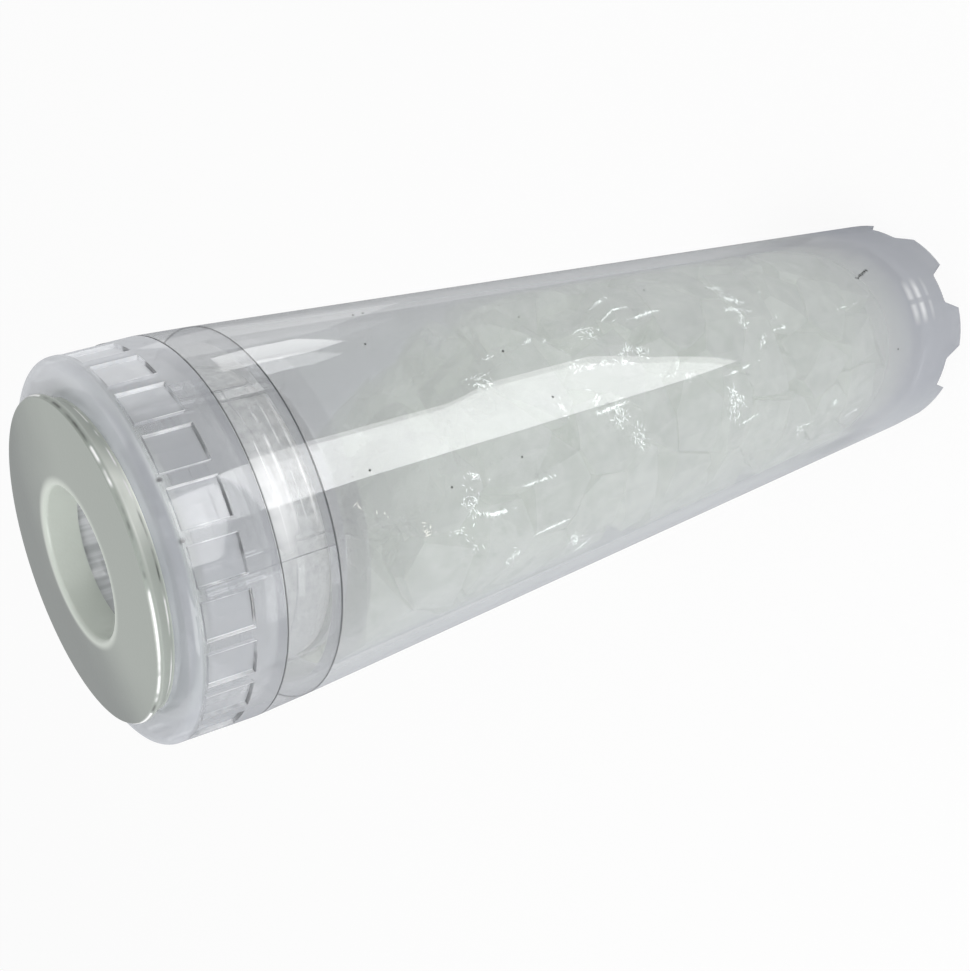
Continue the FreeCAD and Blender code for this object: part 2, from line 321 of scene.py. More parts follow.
# Camera: fitted to the photograph's end circles, side edges and tooth tips. The focal length and
# the centre are in its pixels, the place in metres.
PHOTO_WIDTH, PHOTO_HEIGHT = 970, 971
FOCAL_PIXELS = 1041.4
CENTRE_X, CENTRE_Y = 520.46, 522.40
CAMERA_PLACE = (0.0, -0.1812, 0.30024)
CAMERA_RIGHT = Vector((-0.28549, -0.61843, -0.73215))
CAMERA_UP = Vector((0.95478, -0.11731, -0.27321))

lens_data = bpy.data.cameras.new("camera")
lens_data.sensor_fit = "HORIZONTAL"
lens_data.sensor_width = 36.0
lens_data.lens = FOCAL_PIXELS / PHOTO_WIDTH * lens_data.sensor_width
lens_data.shift_x = -(CENTRE_X - PHOTO_WIDTH / 2) / PHOTO_WIDTH
lens_data.shift_y = (CENTRE_Y - PHOTO_HEIGHT / 2) / PHOTO_WIDTH
lens_data.clip_start = 0.01
camera = bpy.data.objects.new("camera", lens_data)
backward = CAMERA_RIGHT.cross(CAMERA_UP).normalized()
turn = Matrix((CAMERA_RIGHT, CAMERA_UP, backward)).transposed()
camera.matrix_world = Matrix.Translation(CAMERA_PLACE) @ turn.to_4x4()
bpy.context.collection.objects.link(camera)
scene.camera = camera


# Canister: one clear moulding, a tapered tube with a slotted floor and a foot of eight teeth.
# Light passes straight through; each face loses a little, and the foot looks milky lavender.
# Sizes and heights in the finishes are in millimetres.
WALL_TINT = (0.89, 0.90, 0.91)
OPEN_TINT = (0.98, 0.98, 0.98)
MILK = (0.37, 0.385, 0.41)
PLASTIC_IOR = 1.49
MIRROR_ROUGHNESS = 0.04
RIPPLE_SCALE = 60.0
RIPPLE_STRENGTH = 0.05
RIPPLE_HEIGHT = 0.5 * MM
EDGE_POWER = 3.0
LAMP_SHARE = 0.15


def clear_wall(finish, milk, marks=(), colour=MILK, edge=0.42, tinted=1.0, gloss=1.6,
               gloss_limit=0.15):
    """Thin clear wall: see-through and tinted, with a share of milky body that grows by edge
    towards the outline, marks laid over it, and a mirror coat whose share never passes the
    limit. Light that comes from the lamps goes through almost untouched."""
    facing = finish.add("ShaderNodeLayerWeight", None, {"Blend": 0.5}, output="Facing")
    seen = finish.add("ShaderNodeLightPath", None, None, output="Is Camera Ray")
    share = (facing ** EDGE_POWER * edge + milk) * (seen * (1.0 - LAMP_SHARE) + LAMP_SHARE)
    open_glass = finish.add("ShaderNodeBsdfTransparent", None, {"Color": OPEN_TINT})
    seen_glass = finish.add("ShaderNodeBsdfTransparent", None, {"Color": WALL_TINT})
    glass = finish.mixed(seen * tinted, open_glass, seen_glass)
    shader = finish.mixed(share, glass, finish.matt(colour))
    for mask, mark_colour in marks:
        shader = finish.mixed(mask, shader, finish.matt(mark_colour))
    ripple = finish.bump(finish.noise(finish.place(), RIPPLE_SCALE), RIPPLE_STRENGTH, RIPPLE_HEIGHT)
    mirror = finish.add("ShaderNodeBsdfGlossy", None,
                        {"Color": (1.0, 1.0, 1.0), "Roughness": MIRROR_ROUGHNESS, "Normal": ripple})
    fresnel = finish.add("ShaderNodeFresnel", None, {"IOR": PLASTIC_IOR})
    return finish.done(finish.mixed((fresnel * gloss).smaller(gloss_limit), shader, mirror))


def stripes(value, lines):
    """Brightest of soft lines across a value: each has its middle, its reach and its strength."""
    brightest = 0.0
    for middle, reach, strength in lines:
        brightest = (value.near(middle, reach) * strength).larger(brightest)
    return brightest


def dress(node, material):
    """Gives a carried-over piece its finish."""
    piece = frame["nodes"][node]
    piece.material_slots[0].material = material
    return piece


TUBE_FOOT_RADIUS = 31.6
TUBE_TOP_RADIUS = 35.0
SEAM_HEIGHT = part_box("canister")[1].z / MM
FACE_FROM, FACE_FULL = TUBE_TOP_RADIUS - 0.3, TUBE_TOP_RADIUS - 0.1
SKIN_FROM, SKIN_FULL = -1.2, -0.4
SKIN_EDGE, INNER_EDGE = 0.46, 0.14
MILKY_BELOW, CLEAR_ABOVE = 14.0, 62.0
FOOT_SHARE, TUBE_SHARE = 0.67, 0.24
FOOT_MILK = (0.345, 0.362, 0.405)
TUBE_MILK = (0.42, 0.435, 0.455)
LIT_SIDE_MILK = (0.47, 0.49, 0.52)
FOOT_COLOUR_SPAN = (20.0, 45.0)
LIT_SIDE = (-33.0, -18.0)
SEAM_DARK = (0.05, 0.055, 0.06)
SEAM_STRENGTH = 0.9

# Painted highlights: three curved reflections of a window inside the foot, each split by a bar.
# White of every painted highlight on the canister and the collar.
HIGHLIGHT_WHITE = (0.97, 0.98, 0.99)
SHINE_ANGLE = 276.0
SHINE_BAR, SHINE_BAR_LIGHT = (0.3, 1.2), 0.15
SHINE_ENDS = (2.8, 7.3)
SHINE_STRENGTH = 0.6
FOOT_SHINES = [(24.8, 2.3, 0.8), (20.3, 2.1, 1.0), (15.4, 1.4, 0.35)]


def canister_finish():
    """Clear tube with a milky foot, a dark line at its mouth, painted highlights inside its foot
    and a -X side painted paler.
    """
    finish = Finish("canister_plastic")
    x, y, z = finish.millimetres()
    radius = (x * x + y * y) ** 0.5
    milk = z.span(MILKY_BELOW, CLEAR_ABOVE, FOOT_SHARE, TUBE_SHARE)
    outer = TUBE_FOOT_RADIUS + z * ((TUBE_TOP_RADIUS - TUBE_FOOT_RADIUS) / SEAM_HEIGHT)
    skin = (radius - outer).span(SKIN_FROM, SKIN_FULL)
    seam = z.span(SEAM_HEIGHT - 0.3, SEAM_HEIGHT - 0.1) * radius.span(FACE_FROM, FACE_FULL)
    beside = abs(finish.beside(x, y, 1, SHINE_ANGLE, TUBE_FOOT_RADIUS))
    halves = beside.span(*SHINE_BAR, SHINE_BAR_LIGHT, 1.0) * beside.span(*SHINE_ENDS, 1.0, 0.0)
    # Painted highlights: the foot's reflections of a window, laid on in white.
    foot_shines = stripes(z, FOOT_SHINES) * halves * skin * SHINE_STRENGTH
    colour = finish.blend(z.span(*FOOT_COLOUR_SPAN), FOOT_MILK, TUBE_MILK)
    # Painted light: the tube is paler towards its -X side, where the light falls.
    colour = finish.blend(x.span(*LIT_SIDE), LIT_SIDE_MILK, colour)
    return clear_wall(finish, milk, [(seam * SEAM_STRENGTH, SEAM_DARK), (foot_shines, HIGHLIGHT_WHITE)],
                      colour=colour, edge=skin * SKIN_EDGE + INNER_EDGE)


canister = dress("canister", canister_finish())
canister.visible_shadow = False


# Specks: grains of soot on the canister's outer face, and one smear of finer grains. Each speck
# has its angle in degrees, its height and its half width.
SPECKS = [(327.4, 193.4, 0.25), (327.7, 191.1, 0.25), (309.5, 161.4, 0.2), (311.4, 122.5, 0.25),
          (310.3, 197.9, 0.25), (296.8, 171.5, 0.3), (277.7, 165.6, 0.25), (262.5, 177.3, 0.25),
          (256.0, 37.3, 0.35), (306.0, 103.6, 0.25), (271.7, 209.8, 0.25), (260.4, 194.5, 0.25)]
SPECK_STAND_OFF = 0.03
SMEAR_FROM, SMEAR_TO = (298.7, 35.8), (294.2, 45.6)
SMEAR_SPREAD = 0.36
SMEAR_GRAINS = 46
SMEAR_GRAIN_SIZES = (0.08, 0.30)
SMEAR_SEED = 9
SOOT_AND_SHADE_DARK, SOOT_AND_SHADE_GREY = (0.03, 0.03, 0.03), (0.09, 0.09, 0.085)
SOOT_SCALE = 3000.0


def on_wall(angle, height, stand_off=0.0):
    """Points on the tapered outer wall, for angles in degrees and heights in millimetres."""
    turn_angle = np.radians(angle)
    radius = (TUBE_FOOT_RADIUS + (TUBE_TOP_RADIUS - TUBE_FOOT_RADIUS) * height / SEAM_HEIGHT
              + stand_off)
    return np.stack([radius * np.cos(turn_angle), radius * np.sin(turn_angle), height], -1) * MM


def soot_and_shade():
    """Matt and nearly black, with a fine grain: soot on the canister, and painted shade in the
    crystals' cracks.
    """
    finish = Finish("soot_and_shade")
    grain = finish.noise(finish.place(), SOOT_SCALE)
    return finish.done(finish.matt(finish.blend(grain, SOOT_AND_SHADE_DARK, SOOT_AND_SHADE_GREY)))


def fleck_mesh(name, centres, across, along, material):
    """One mesh of kite-shaped flecks: each has its corners at the centre plus and minus its
    along and across vectors, three of them a tenth longer or shorter."""
    corners = np.stack([centres - along, centres + across * 0.9, centres + along * 1.1,
                        centres - across * 1.1], axis=1)
    count = len(centres)
    quads = np.arange(count * 4).reshape(count, 4)
    mesh = bpy.data.meshes.new(name)
    mesh.from_pydata(corners.reshape(-1, 3).tolist(), [], quads.tolist())
    mesh.materials.append(material)
    piece = bpy.data.objects.new(name, mesh)
    bpy.context.collection.objects.link(piece)
    return piece


def smear_grains():
    """Fine grains strewn about a short line, denser at its middle."""
    strew = np.random.default_rng(SMEAR_SEED)
    share = strew.beta(2.0, 2.0, SMEAR_GRAINS)[:, None]
    line = np.array(SMEAR_FROM) * (1 - share) + np.array(SMEAR_TO) * share
    spots = line + strew.normal(0.0, SMEAR_SPREAD, (SMEAR_GRAINS, 2))
    return np.hstack([spots, strew.uniform(*SMEAR_GRAIN_SIZES, (SMEAR_GRAINS, 1))])


grains = np.vstack([np.array(SPECKS), smear_grains()])
grain_places = on_wall(grains[:, 0], grains[:, 1], SPECK_STAND_OFF)
round_turn = np.radians(grains[:, 0])
sideways = np.stack([-np.sin(round_turn), np.cos(round_turn), np.zeros(len(grains))], -1)
upright = np.tile(np.array([0.0, 0.0, 1.0]), (len(grains), 1))
grain_size = grains[:, 2:] * MM
specks = fleck_mesh("specks", grain_places, sideways * grain_size, upright * grain_size, soot_and_shade())
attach(specks, "canister_body")


# Crystals: lumps of a pale glassy salt, broken from a melt, that fill the canister. Their edges
# are rounded by handling, and their milky inside shows the lumps behind. The bed's top slopes
# down along X.
SALT_DARK, SALT_PALE = (0.79, 0.83, 0.755), (0.91, 0.935, 0.88)
SALT_CLEAR = (0.97, 0.98, 0.96)
SALT_ROUGHNESS = 0.18
LUMP_TONE, CLOUD_TONE, WISP_TONE = 0.14, 0.50, 0.36
CLOUD_SCALE, WISP_SCALE, SALT_RIPPLE_SCALE = 70.0, 190.0, 220.0
SALT_RIPPLE_HEIGHT = 1.2 * MM
LEAST_BODY, MOST_BODY = 0.46, 0.62
BED_SLOPE = 1.2
BED_TOP = 196.0
BED_FADE = 34.0
TOP_BODY = 0.45
EDGE_ROUND = 1.1 * MM
EDGE_STEPS = 3
FLAT_ANGLE, EDGE_ANGLE = 1.0, 12.0
MERGE_DISTANCE = 0.01 * MM


def crystal_salt():
    """Pale cloudy body with wisps, mixed with clear salt. Each lump has its own tone, and the bed
    gets clearer towards its top."""
    finish = Finish("crystal_salt")
    place = finish.place()
    lump = finish.add("ShaderNodeNewGeometry", None, None, output="Random Per Island")
    cloud = finish.noise(place, CLOUD_SCALE, 3.0)
    wisps = finish.noise(place, WISP_SCALE, 4.0)
    tone = lump * LUMP_TONE + cloud * CLOUD_TONE + wisps * WISP_TONE
    colour = finish.blend(tone.span(0.3, 0.7), SALT_DARK, SALT_PALE)
    bump = finish.bump(finish.noise(place, SALT_RIPPLE_SCALE, 3.0), 0.3, SALT_RIPPLE_HEIGHT)
    body = finish.add("ShaderNodeBsdfPrincipled", None,
                      {"Base Color": colour, "Roughness": SALT_ROUGHNESS, "Normal": bump})
    clear = finish.add("ShaderNodeBsdfTransparent", None, {"Color": SALT_CLEAR})
    x, _, z = finish.millimetres()
    buried = (z + x * BED_SLOPE).span(BED_TOP - BED_FADE, BED_TOP, 1.0, TOP_BODY)
    share = wisps.span(0.35, 0.65, LEAST_BODY, MOST_BODY) * buried
    return finish.done(finish.mixed(share, clear, body))


def softened(layer, material):
    """Copy of a layer's lumps with their loose facets merged and every edge rounded."""
    shape = bmesh.new()
    shape.from_mesh(frame["nodes"][layer].data)
    bmesh.ops.remove_doubles(shape, verts=shape.verts, dist=MERGE_DISTANCE)
    bmesh.ops.dissolve_limit(shape, angle_limit=math.radians(FLAT_ANGLE), verts=shape.verts,
                             edges=shape.edges)
    mesh = bpy.data.meshes.new(layer + "_lumps")
    shape.to_mesh(mesh)
    shape.free()
    if "custom_normal" in mesh.attributes:
        mesh.attributes.remove(mesh.attributes["custom_normal"])
    mesh.materials.clear()
    mesh.materials.append(material)
    mesh.shade_smooth()
    piece = bpy.data.objects.new(mesh.name, mesh)
    bpy.context.collection.objects.link(piece)
    rounding = piece.modifiers.new("rounded_edges", "BEVEL")
    rounding.width = EDGE_ROUND
    rounding.segments = EDGE_STEPS
    rounding.limit_method = "ANGLE"
    rounding.angle_limit = math.radians(EDGE_ANGLE)
    rounding.harden_normals = True
    return piece


salt = crystal_salt()
layers = sorted(name for name in frame["nodes"] if name.startswith("crystals_layer"))
lumps = []
for layer in layers:
    piece = softened(layer, salt)
    piece.visible_shadow = False
    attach(piece, "canister_body")
    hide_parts(layer)
    lumps.append(piece)


# Fracture glints: painted highlights, white slivers with a little glow of their own, laid on
# the crystals' outer faces where broken edges flash white; the dark slivers among them are
# painted shade. Each cluster has an angle, a height, a reach in millimetres and a count of slivers.
GLINTS = [(320.2, 130.6, 1.5, 10), (310.0, 132.1, 3.0, 26), (307.0, 138.1, 3.2, 22),
          (304.0, 126.0, 3.0, 18), (304.5, 121.5, 2.0, 10), (293.0, 176.5, 2.4, 12),
          (289.2, 177.3, 2.0, 10), (249.7, 187.0, 3.2, 26), (245.0, 182.8, 3.6, 34),
          (230.4, 165.6, 3.0, 18), (216.0, 156.6, 2.4, 20), (208.0, 152.0, 2.0, 12),
          (268.7, 147.9, 3.0, 24), (265.8, 146.0, 2.6, 22), (275.1, 151.2, 2.5, 14),
          (255.0, 141.4, 3.6, 16), (311.5, 95.0, 2.4, 22), (301.6, 93.6, 3.0, 26),
          (295.7, 95.1, 2.5, 18), (290.1, 95.4, 2.4, 14), (268.5, 104.0, 3.4, 26),
          (258.4, 106.8, 3.0, 22), (252.9, 107.8, 3.0, 24), (245.2, 102.2, 2.6, 12),
          (303.7, 80.0, 1.2, 5), (278.4, 91.6, 1.4, 8), (290.0, 77.9, 1.6, 7),
          (284.7, 75.4, 1.2, 5), (227.8, 76.2, 2.2, 12), (229.7, 73.1, 1.6, 8),
          (237.0, 62.2, 2.0, 10), (225.2, 49.7, 2.4, 12), (284.1, 49.6, 3.6, 12),
          (286.0, 42.6, 2.6, 8), (304.2, 168.8, 1.6, 6), (302.5, 161.0, 1.2, 5),
          (301.6, 156.3, 1.2, 4), (293.5, 151.1, 2.0, 9), (291.1, 128.7, 2.4, 12),
          (289.3, 137.2, 2.4, 12), (284.5, 139.1, 2.2, 12), (287.3, 146.7, 2.6, 12),
          (238.3, 188.3, 1.8, 8), (233.7, 186.0, 1.8, 10), (272.9, 160.7, 2.0, 8),
          (251.2, 172.0, 3.4, 14), (223.0, 176.0, 1.8, 8), (273.8, 122.4, 2.6, 12),
          (281.5, 116.0, 2.4, 10), (259.0, 185.5, 2.2, 10)]
WARM_GLINTS = [(269.0, 207.6, 2.4, 12), (253.9, 206.4, 2.8, 14), (248.9, 200.3, 2.6, 12)]
GLINT_WHITE, GLINT_WARM = (0.95, 1.0, 0.97), (1.0, 0.95, 0.78)
WHITE_GLOW, WARM_GLOW = 1.4, 0.8
GLINT_ROUGHNESS = 0.12
GLINT_SCALE = 2500.0
SLIVER_LENGTH = (0.3, 1.7)
SLIVER_WIDTH = (0.05, 0.20)
SLIVER_SHARE = 2.8
SLIVER_TURN = 0.7
SLIVER_TILT = 0.5
SLIVER_LIFT = 0.12
CLUSTER_TIGHTNESS = 1.55
CLUSTER_FLATNESS = 0.6
DARK_PART = 4
GLINT_SEED = 21


def painted_glint_finish(name, colour, strength):
    """Painted highlight: smooth, with a little glow of its own, speckled with white."""
    finish = Finish(name)
    flash = finish.noise(finish.place(), GLINT_SCALE)
    body = finish.add("ShaderNodeBsdfPrincipled", None,
                      {"Base Color": finish.blend(flash, colour, (1.0, 1.0, 1.0)),
                       "Roughness": GLINT_ROUGHNESS, "Emission Color": colour,
                       "Emission Strength": strength})
    return finish.done(body)


def lump_surface():
    """One search tree over all lumps, to set slivers on their faces."""
    corners, faces = [], []
    for piece in lumps:
        start = len(corners)
        corners += [vertex.co.copy() for vertex in piece.data.vertices]
        faces += [tuple(start + index for index in face.vertices) for face in piece.data.polygons]
    return BVHTree.FromPolygons(corners, faces)


def slivers(name, clusters, draw, tree, material):
    """Thin kites set on the lumps: inside a cluster they lie about one direction, most of them
    within 40 degrees of it, with lengths and widths drawn from the ranges above."""
    centres, across, along = [], [], []
    for angle, height, reach, count in clusters:
        lean = draw.uniform(-math.pi / 2, math.pi / 2)
        for _ in range(int(count * SLIVER_SHARE)):
            offset = draw.normal(0.0, reach / CLUSTER_TIGHTNESS, 2)
            heading = math.radians(angle) + (offset[0] * math.cos(lean)) / TUBE_TOP_RADIUS
            level = height + offset[0] * math.sin(lean) + offset[1] * CLUSTER_FLATNESS
            out = Vector((math.cos(heading), math.sin(heading), 0.0))
            outside = out * TUBE_TOP_RADIUS * MM * 1.5 + Vector((0.0, 0.0, level * MM))
            hit, normal = tree.ray_cast(outside, -out)[:2]
            length, width = draw.uniform(*SLIVER_LENGTH) * MM, draw.uniform(*SLIVER_WIDTH) * MM
            twist = lean + draw.normal(0.0, SLIVER_TURN)
            tilt = draw.uniform(-SLIVER_TILT, SLIVER_TILT)
            if hit is None:
                continue
            side = Vector((-out.y, out.x, 0.0))
            flow = side * math.cos(twist) + Vector((0.0, 0.0, 1.0)) * math.sin(twist)
            flow = (flow - normal * flow.dot(normal)).normalized()
            spread = (normal.cross(flow) + normal * tilt).normalized()
            centres.append(hit + normal * SLIVER_LIFT * MM)
            along.append(flow * length / 2)
            across.append(spread * width / 2)
    return fleck_mesh(name, np.array(centres), np.array(across), np.array(along), material)


draw = np.random.default_rng(GLINT_SEED)
tree = lump_surface()
# Painted shade: a quarter as many dark slivers in each cluster, in the soot's black.
dark_clusters = [(angle, height, reach, max(1, count // DARK_PART))
                 for angle, height, reach, count in GLINTS]
glints = [slivers("fracture_glints", GLINTS, draw, tree,
                  painted_glint_finish("glint", GLINT_WHITE, WHITE_GLOW)),
          slivers("warm_glints", WARM_GLINTS, draw, tree,
                  painted_glint_finish("warm_glint", GLINT_WARM, WARM_GLOW)),
          slivers("fracture_shadows", dark_clusters, draw, tree, soot_and_shade())]
for piece in glints:
    piece.visible_shadow = False
    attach(piece, "canister_body")


# Neck collar: a second clear moulding, pressed into the canister's mouth. Its band is flush with
# the tube, so only a dark hairline shows at each end; the neck carries the cap's thread.
INNER_MILK = (0.78, 0.80, 0.81)
BAND_HEIGHT = 10.1
BAND_TOP = SEAM_HEIGHT + BAND_HEIGHT
HAIRLINES = [(SEAM_HEIGHT, 0.22, 1.0), (BAND_TOP, 0.28, 1.0)]
BAND_INSIDE = (33.4, 33.7)
BORE_INSIDE = (28.7, 28.9)
BAND_SHARE, NECK_SHARE = 0.20, 0.12
BAND_EDGE, SPIGOT_EDGE, LEAST_EDGE = 0.38, 0.12, 0.02
NECK_TINT = 0.45
NECK_RADIUS = 30.4
NECK_EDGE_FROM = 2.0
BORE_EDGE_FROM = 1.4
BORE_EDGE_SHADE_GREY = (0.16, 0.165, 0.17)

# Four painted highlight rings and a wide painted glare, reflections of a window, lie on the band at
# one side.
BAND_HIGHLIGHT_RINGS = [(221.6, 0.4, 1.0), (223.4, 0.22, 1.0), (225.2, 0.5, 1.0), (227.3, 0.2, 1.0)]
HIGHLIGHT_RING_ANGLE, HIGHLIGHT_RING_REACH = 281.0, 15.0
GLARE_ANGLE, GLARE_REACH = 271.0, 13.0
GLARE_DROP, GLARE_HEIGHT = 1.8, 4.5

THREAD_LEAD = 4.0
THREAD_TURNS = 1.6
THREAD_DEPTH = 0.9
THREAD_BREAKS = 6
THREAD_BREAK_PHASE = 14.0


def collar_finish():
    """Clear band and neck, with a hairline at each seam, painted shade and painted highlights at
    the edges of the thread's breaks, and the band's painted highlight rings and painted glare."""
    finish = Finish("collar_plastic")
    x, y, z = finish.millimetres()
    radius = (x * x + y * y) ** 0.5
    skin = radius.span(FACE_FROM, FACE_FULL)
    seams = stripes(z, HAIRLINES) * skin * SEAM_STRENGTH
    inner = radius.span(*BAND_INSIDE, 1.0, 0.0)
    colour = finish.blend(inner, MILK, INNER_MILK)
    beside = abs(finish.beside(x, y, THREAD_BREAKS, THREAD_BREAK_PHASE, NECK_RADIUS))
    uneven = finish.noise(finish.place(), 220.0)
    # Painted shade in grey on the bore and painted highlights in white on the neck, at the edges of
    # the thread's breaks.
    bore_edge_shade = beside.near(BORE_EDGE_FROM, 0.28) * radius.span(*BORE_INSIDE, 1.0, 0.0)
    bore_edge_shade = bore_edge_shade * uneven.span(0.35, 0.6, 0.2, 0.9)
    neck_edge_highlights = beside.near(NECK_EDGE_FROM, 0.35) * inner * z.span(BAND_TOP, BAND_TOP + 0.5) * 0.9
    spigot = z.span(SEAM_HEIGHT - 0.6, SEAM_HEIGHT)
    # Painted highlights: the band's rings and its glare, laid on in white.
    around = finish.beside(x, y, 1, HIGHLIGHT_RING_ANGLE, TUBE_TOP_RADIUS).near(0.0, HIGHLIGHT_RING_REACH)
    rings = stripes(z, BAND_HIGHLIGHT_RINGS) * around * uneven.span(0.38, 0.6, 0.1, 0.75) * skin
    glare = finish.beside(x, y, 1, GLARE_ANGLE, TUBE_TOP_RADIUS).near(0.0, GLARE_REACH)
    glare = glare * z.near(BAND_TOP - GLARE_DROP, GLARE_HEIGHT)
    glare = glare * uneven.span(0.3, 0.6, 0.38, 0.58) * skin
    marks = [(glare, HIGHLIGHT_WHITE), (seams, SEAM_DARK), (bore_edge_shade, BORE_EDGE_SHADE_GREY),
             (neck_edge_highlights, HIGHLIGHT_WHITE), (rings, HIGHLIGHT_WHITE)]
    faded = spigot * 0.9 + 0.1
    return clear_wall(finish, inner.span(0.0, 1.0, BAND_SHARE, NECK_SHARE) * faded, marks,
                      colour=colour, edge=skin * BAND_EDGE + spigot * SPIGOT_EDGE + LEAST_EDGE,
                      tinted=skin.larger(NECK_TINT) * faded)


collar = dress("neck_collar", collar_finish())
collar.visible_shadow = False

# Thread: a low ridge with a flat top, moulded with the neck and with the cap. It is broken six
# times a turn on the neck and whole in the cap.
RIDGE_HALF_WIDTH = 0.85
RIDGE_FLANK = 0.6
RIDGE_END_FADE = 0.3
RIDGE_POINTS, TURN_POINTS = 9, 144
BREAK_HALF_WIDTH, BREAK_FADE = 0.06, 0.03
RIDGE_SHARE = 0.30
NECK_RIDGE_SEAT = NECK_RADIUS - 0.02
NECK_RIDGE_HEIGHT = 231.4


def thread_ridge(name, radius, height, depth, breaks, material):
    """Right-hand ridge on a cylinder. Across it the radius rises by the depth times a flat-topped
    hump; along the helix the depth fades at both ends and at each break."""
    across = np.linspace(-1.0, 1.0, RIDGE_POINTS)
    along = np.linspace(0.0, THREAD_TURNS * 2 * np.pi, int(THREAD_TURNS * TURN_POINTS))
    hump = np.clip((1.0 - np.abs(across)) / RIDGE_FLANK, 0.0, 1.0)
    fade = np.clip(np.minimum(along, along[-1] - along) / RIDGE_END_FADE, 0.0, 1.0)
    if breaks:
        off = np.abs((along - math.radians(THREAD_BREAK_PHASE)) * breaks / (2 * np.pi) % 1.0 - 0.5)
        fade = fade * np.clip((0.5 - off - BREAK_HALF_WIDTH) / BREAK_FADE, 0.0, 1.0)
    rise = radius + depth * fade[:, None] * hump[None, :]
    climb = THREAD_LEAD * along[:, None] / (2 * np.pi)
    level = height + climb + RIDGE_HALF_WIDTH * across[None, :]
    points = np.stack([rise * np.cos(along)[:, None], rise * np.sin(along)[:, None], level], -1) * MM
    return grid_mesh(name, points, material)


def ridge_finish(name):
    return clear_wall(Finish(name), RIDGE_SHARE)


neck_thread = thread_ridge("neck_thread", NECK_RIDGE_SEAT, NECK_RIDGE_HEIGHT, THREAD_DEPTH,
                           THREAD_BREAKS, ridge_finish("neck_thread_plastic"))
neck_thread.visible_shadow = False
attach(neck_thread, "canister_body")


# Strainer: a disc of clear plastic, moulded with slots, that keeps the crystals in. Their dust
# lies on its low side.
DUST_SIDE = (-20.0, 12.0)
DUST_SHARE, CLEAN_SHARE = 0.34, 0.03


def strainer_finish():
    finish = Finish("strainer_plastic")
    dust = finish.millimetres()[0].span(*DUST_SIDE, DUST_SHARE, CLEAN_SHARE)
    return clear_wall(finish, dust, colour=INNER_MILK, edge=0.05, tinted=0.2)


strainer = dress("upper_strainer", strainer_finish())
strainer.visible_shadow = False


# Felt pads: discs of pressed white fibre, one above the strainer and one under the bed. The
# fibre is damp and darker towards the low side.
FELT_DAMP, FELT_DRY = (0.53, 0.54, 0.54), (0.78, 0.79, 0.78)
FELT_SCALE = 700.0
FELT_ROUGHNESS = 0.95
FELT_NAP = 0.6 * MM
DRY_SIDE = (-30.0, 6.0)
RIM_ROUND, FACE_ROUND = 0.16, 0.22
RIM_STEPS, TURN_STEPS = 72, 160
WAVES = 14
RING_WAVES, SPOKE_WAVES = (3, 26), (5, 40)
WAVE_DEPTH = 0.006


def felt():
    """Matt mottled fibre, darker where it is damp."""
    finish = Finish("felt")
    cloud = finish.noise(finish.place(), FELT_SCALE, 5.0)
    dry = cloud.span(0.3, 0.7) * finish.millimetres()[0].span(*DRY_SIDE, 0.1, 1.0)
    body = finish.add("ShaderNodeBsdfPrincipled", None,
                      {"Base Color": finish.blend(dry, FELT_DAMP, FELT_DRY),
                       "Roughness": FELT_ROUGHNESS, "Normal": finish.bump(cloud, 0.7, FELT_NAP)})
    return finish.done(body)


def felt_disc(node, seed, material):
    """Pressed disc: a superellipse swept about Z, with a low crown and a fibrous wave on its
    faces. Its radius is R|cos t|^k and its height H/2 sign(sin t)|sin t|^k."""
    low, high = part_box(node)
    radius = (high.x - low.x) / 2
    half = (high.z - low.z) / 2
    middle = (high.z + low.z) / 2
    draw_waves = np.random.default_rng(seed)
    tilt = np.linspace(-np.pi / 2, np.pi / 2, RIM_STEPS)
    swing = np.linspace(0.0, 2 * np.pi, TURN_STEPS, endpoint=False)
    reach = radius * np.abs(np.cos(tilt)) ** RIM_ROUND
    rise = half * np.sign(np.sin(tilt)) * np.abs(np.sin(tilt)) ** FACE_ROUND
    reach[0] = reach[-1] = 0.0
    wave = np.zeros((len(tilt), len(swing)))
    for _ in range(WAVES):
        rings, spokes = draw_waves.integers(*RING_WAVES), draw_waves.integers(*SPOKE_WAVES)
        start = draw_waves.uniform(0, 6.28)
        wave += np.sin(rings * tilt[:, None] * 2 + spokes * swing[None, :] + start)
    shrink = 1.0 - WAVE_DEPTH * (1.0 + wave / WAVES ** 0.5 / 2)
    points = np.stack([reach[:, None] * np.cos(swing) * shrink,
                       reach[:, None] * np.sin(swing) * shrink,
                       middle + rise[:, None] * shrink], -1)
    points[0] = points[0].mean(axis=0)
    points[-1] = points[-1].mean(axis=0)
    disc = grid_mesh(node + "_felt", points, material, closed=True)
    shape = bmesh.new()
    shape.from_mesh(disc.data)
    bmesh.ops.remove_doubles(shape, verts=shape.verts, dist=MERGE_DISTANCE)
    bmesh.ops.recalc_face_normals(shape, faces=shape.faces)
    shape.to_mesh(disc.data)
    shape.free()
    disc.data.shade_smooth()
    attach(disc, "canister_body")
    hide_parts(node)
    return disc


pressed_felt = felt()
felt_disc("upper_felt_pad", 3, pressed_felt)
felt_disc("lower_felt_pad", 4, pressed_felt)


